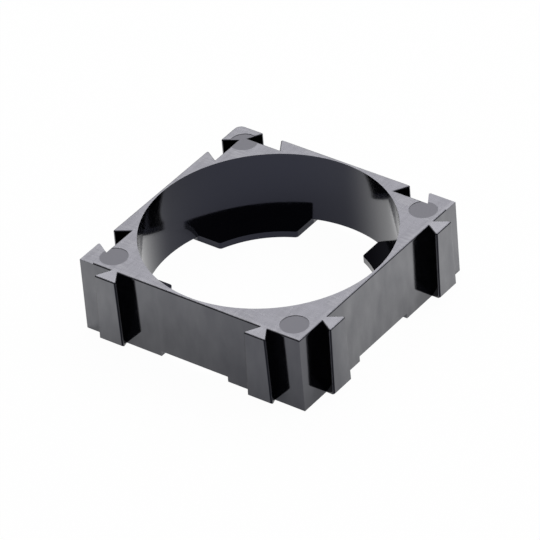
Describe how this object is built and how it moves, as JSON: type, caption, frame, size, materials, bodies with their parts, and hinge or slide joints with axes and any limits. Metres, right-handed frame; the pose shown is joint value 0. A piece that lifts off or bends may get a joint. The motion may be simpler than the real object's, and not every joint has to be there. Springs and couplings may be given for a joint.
{
  "type": "battery cell holder bracket",
  "caption": "Square plastic holder for one end of a cylindrical cell, with a round bore, corner seat tabs, and dovetail ribs and grooves that join it to its neighbours.",
  "frame": {"origin": "centre of the cell's seat: the bore's axis, level with the upper face of the seat tabs", "axes": "+Z along the bore, the way the cell leaves; ribs stand out on +X and -Y, grooves are cut into -X and +Y"},
  "size_m": [0.0358, 0.0358, 0.0108],
  "materials": {
    "body": "black moulded plastic with a satin gloss"
  },
  "bodies": {
    "root": {"holder": "body"}
  },
  "joints": []
}
